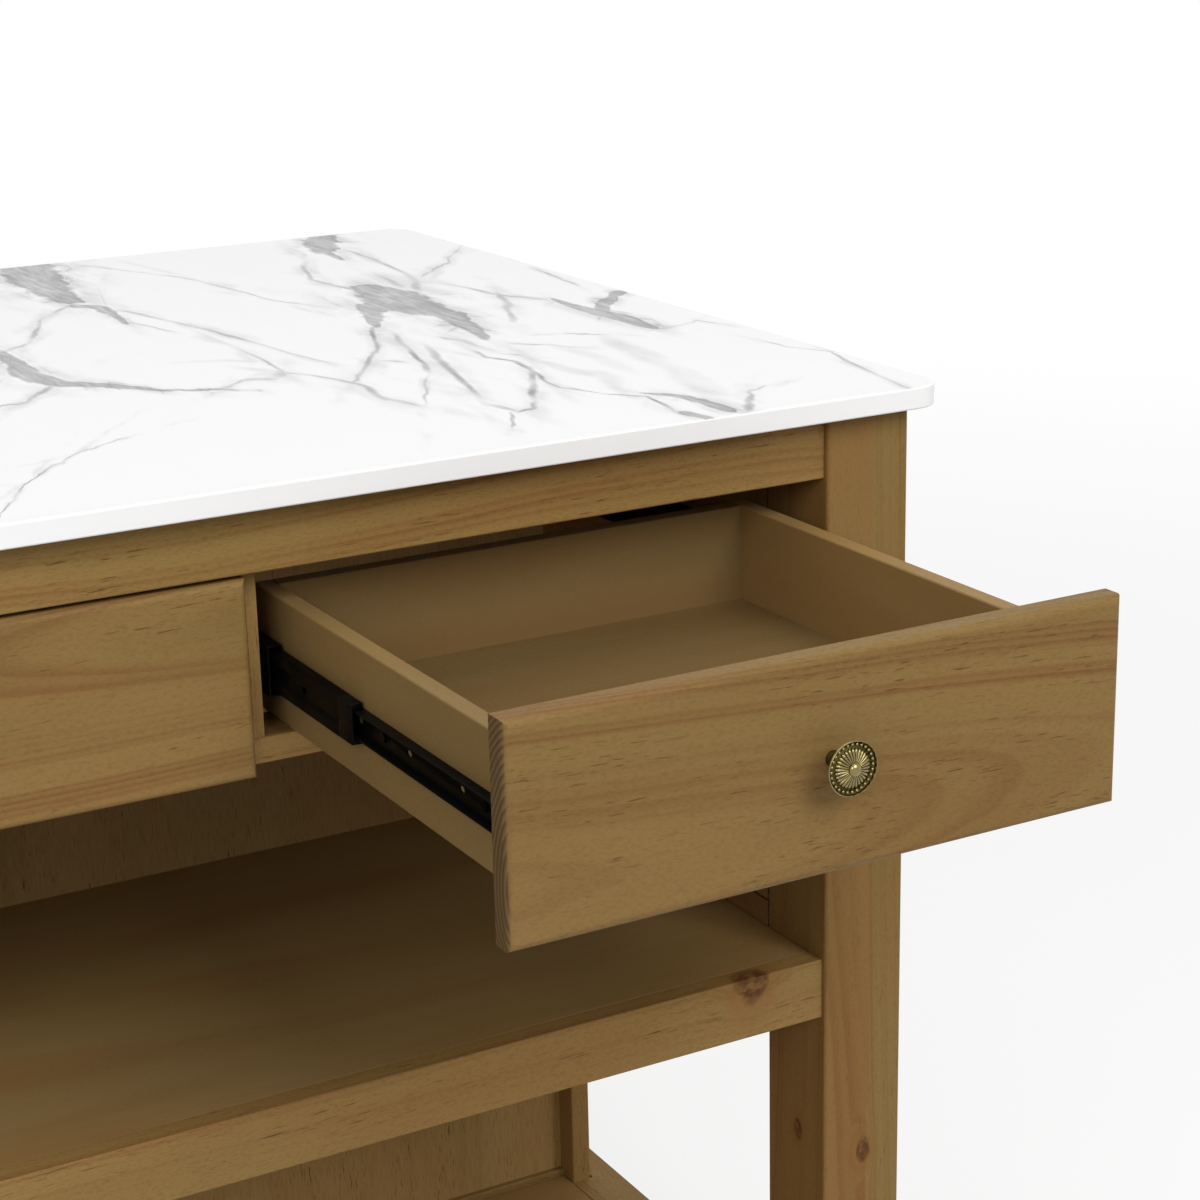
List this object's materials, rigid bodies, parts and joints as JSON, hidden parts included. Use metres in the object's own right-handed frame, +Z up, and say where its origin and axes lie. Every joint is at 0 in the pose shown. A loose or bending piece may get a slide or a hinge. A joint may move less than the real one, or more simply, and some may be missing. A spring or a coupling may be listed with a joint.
{
  "type": "kitchen island",
  "caption": "Free-standing kitchen island of stained pine with a marble slab top, side-by-side drawers on ball-bearing slides, open shelves and a knee space behind.",
  "frame": {"origin": "on the floor, under the middle of the whole box as it stands with the right drawer open", "axes": "+Z up, +Y from the drawer fronts to the back, +X to the right seen from the front"},
  "size_m": [1.05, 1.243, 0.914],
  "materials": {
    "marble_top": "satin",
    "stained_pine": "satin",
    "stained_plywood": "satin",
    "black_steel": "satin",
    "black_plastic": "matte",
    "antique_brass": "satin",
    "screw_steel": "satin"
  },
  "bodies": {
    "carcass": {"back_panel": "stained_plywood", "back_panel_bottom_rail": "stained_pine", "back_panel_top_rail": "stained_pine", "bottom_shelf": "stained_plywood", "bottom_shelf_cleats": "stained_pine", "bottom_shelf_rail": "stained_pine", "centre_divider": "stained_pine", "countertop": "marble_top", "drawer_rail": "stained_pine", "front_left_leg": "stained_pine", "front_right_leg": "stained_pine", "front_top_rail": "stained_pine", "left_back_post": "stained_pine", "left_drawer_left_slide_batten": "stained_pine", "left_drawer_left_slide_outer": "black_steel", "left_drawer_right_slide_batten": "stained_pine", "left_drawer_right_slide_outer": "black_steel", "left_side_planks": "stained_pine", "left_side_top_rail": "stained_pine", "left_stretcher": "stained_pine", "middle_shelf": "stained_plywood", "middle_shelf_cleats": "stained_pine", "middle_shelf_rail": "stained_pine", "rear_left_leg": "stained_pine", "rear_right_leg": "stained_pine", "rear_top_rail": "stained_pine", "right_back_post": "stained_pine", "right_drawer_left_slide_batten": "stained_pine", "right_drawer_left_slide_outer": "black_steel", "right_drawer_right_slide_batten": "stained_pine", "right_drawer_right_slide_outer": "black_steel", "right_side_planks": "stained_pine", "right_side_top_rail": "stained_pine", "right_stretcher": "stained_pine"},
    "left_drawer": {"left_drawer_back": "stained_plywood", "left_drawer_bottom": "stained_plywood", "left_drawer_front": "stained_pine", "left_drawer_knob": "antique_brass", "left_drawer_knob_screw": "screw_steel", "left_drawer_left_side": "stained_plywood", "left_drawer_left_slide_inner": "black_steel", "left_drawer_right_side": "stained_plywood", "left_drawer_right_slide_inner": "black_steel", "left_drawer_slide_screws": "black_steel"},
    "left_slide_middles": {"left_drawer_left_slide_middle": "black_steel", "left_drawer_right_slide_middle": "black_steel", "left_drawer_slide_stops": "black_plastic"},
    "right_drawer": {"right_drawer_back": "stained_plywood", "right_drawer_bottom": "stained_plywood", "right_drawer_front": "stained_pine", "right_drawer_knob": "antique_brass", "right_drawer_knob_screw": "screw_steel", "right_drawer_left_side": "stained_plywood", "right_drawer_left_slide_inner": "black_steel", "right_drawer_right_side": "stained_plywood", "right_drawer_right_slide_inner": "black_steel", "right_drawer_slide_screws": "black_steel"},
    "right_slide_middles": {"right_drawer_left_slide_middle": "black_steel", "right_drawer_right_slide_middle": "black_steel", "right_drawer_slide_stops": "black_plastic"}
  },
  "joints": [
    {"name": "right_drawer_slide", "type": "slide", "parent": "carcass", "child": "right_drawer", "axis": [0, -1, 0], "range_m": [-0.329, 0.011]},
    {"name": "right_slide_middles_slide", "type": "slide", "parent": "carcass", "child": "right_slide_middles", "axis": [0, -1, 0], "range_m": [-0.1645, 0.0055]},
    {"name": "left_drawer_slide", "type": "slide", "parent": "carcass", "child": "left_drawer", "axis": [0, -1, 0], "range_m": [0, 0.34]},
    {"name": "left_slide_middles_slide", "type": "slide", "parent": "carcass", "child": "left_slide_middles", "axis": [0, -1, 0], "range_m": [0, 0.17]}
  ],
  "couplings": [
    {"joint": "right_slide_middles_slide", "follows": "right_drawer_slide", "ratio": 0.5},
    {"joint": "left_slide_middles_slide", "follows": "left_drawer_slide", "ratio": 0.5}
  ]
}
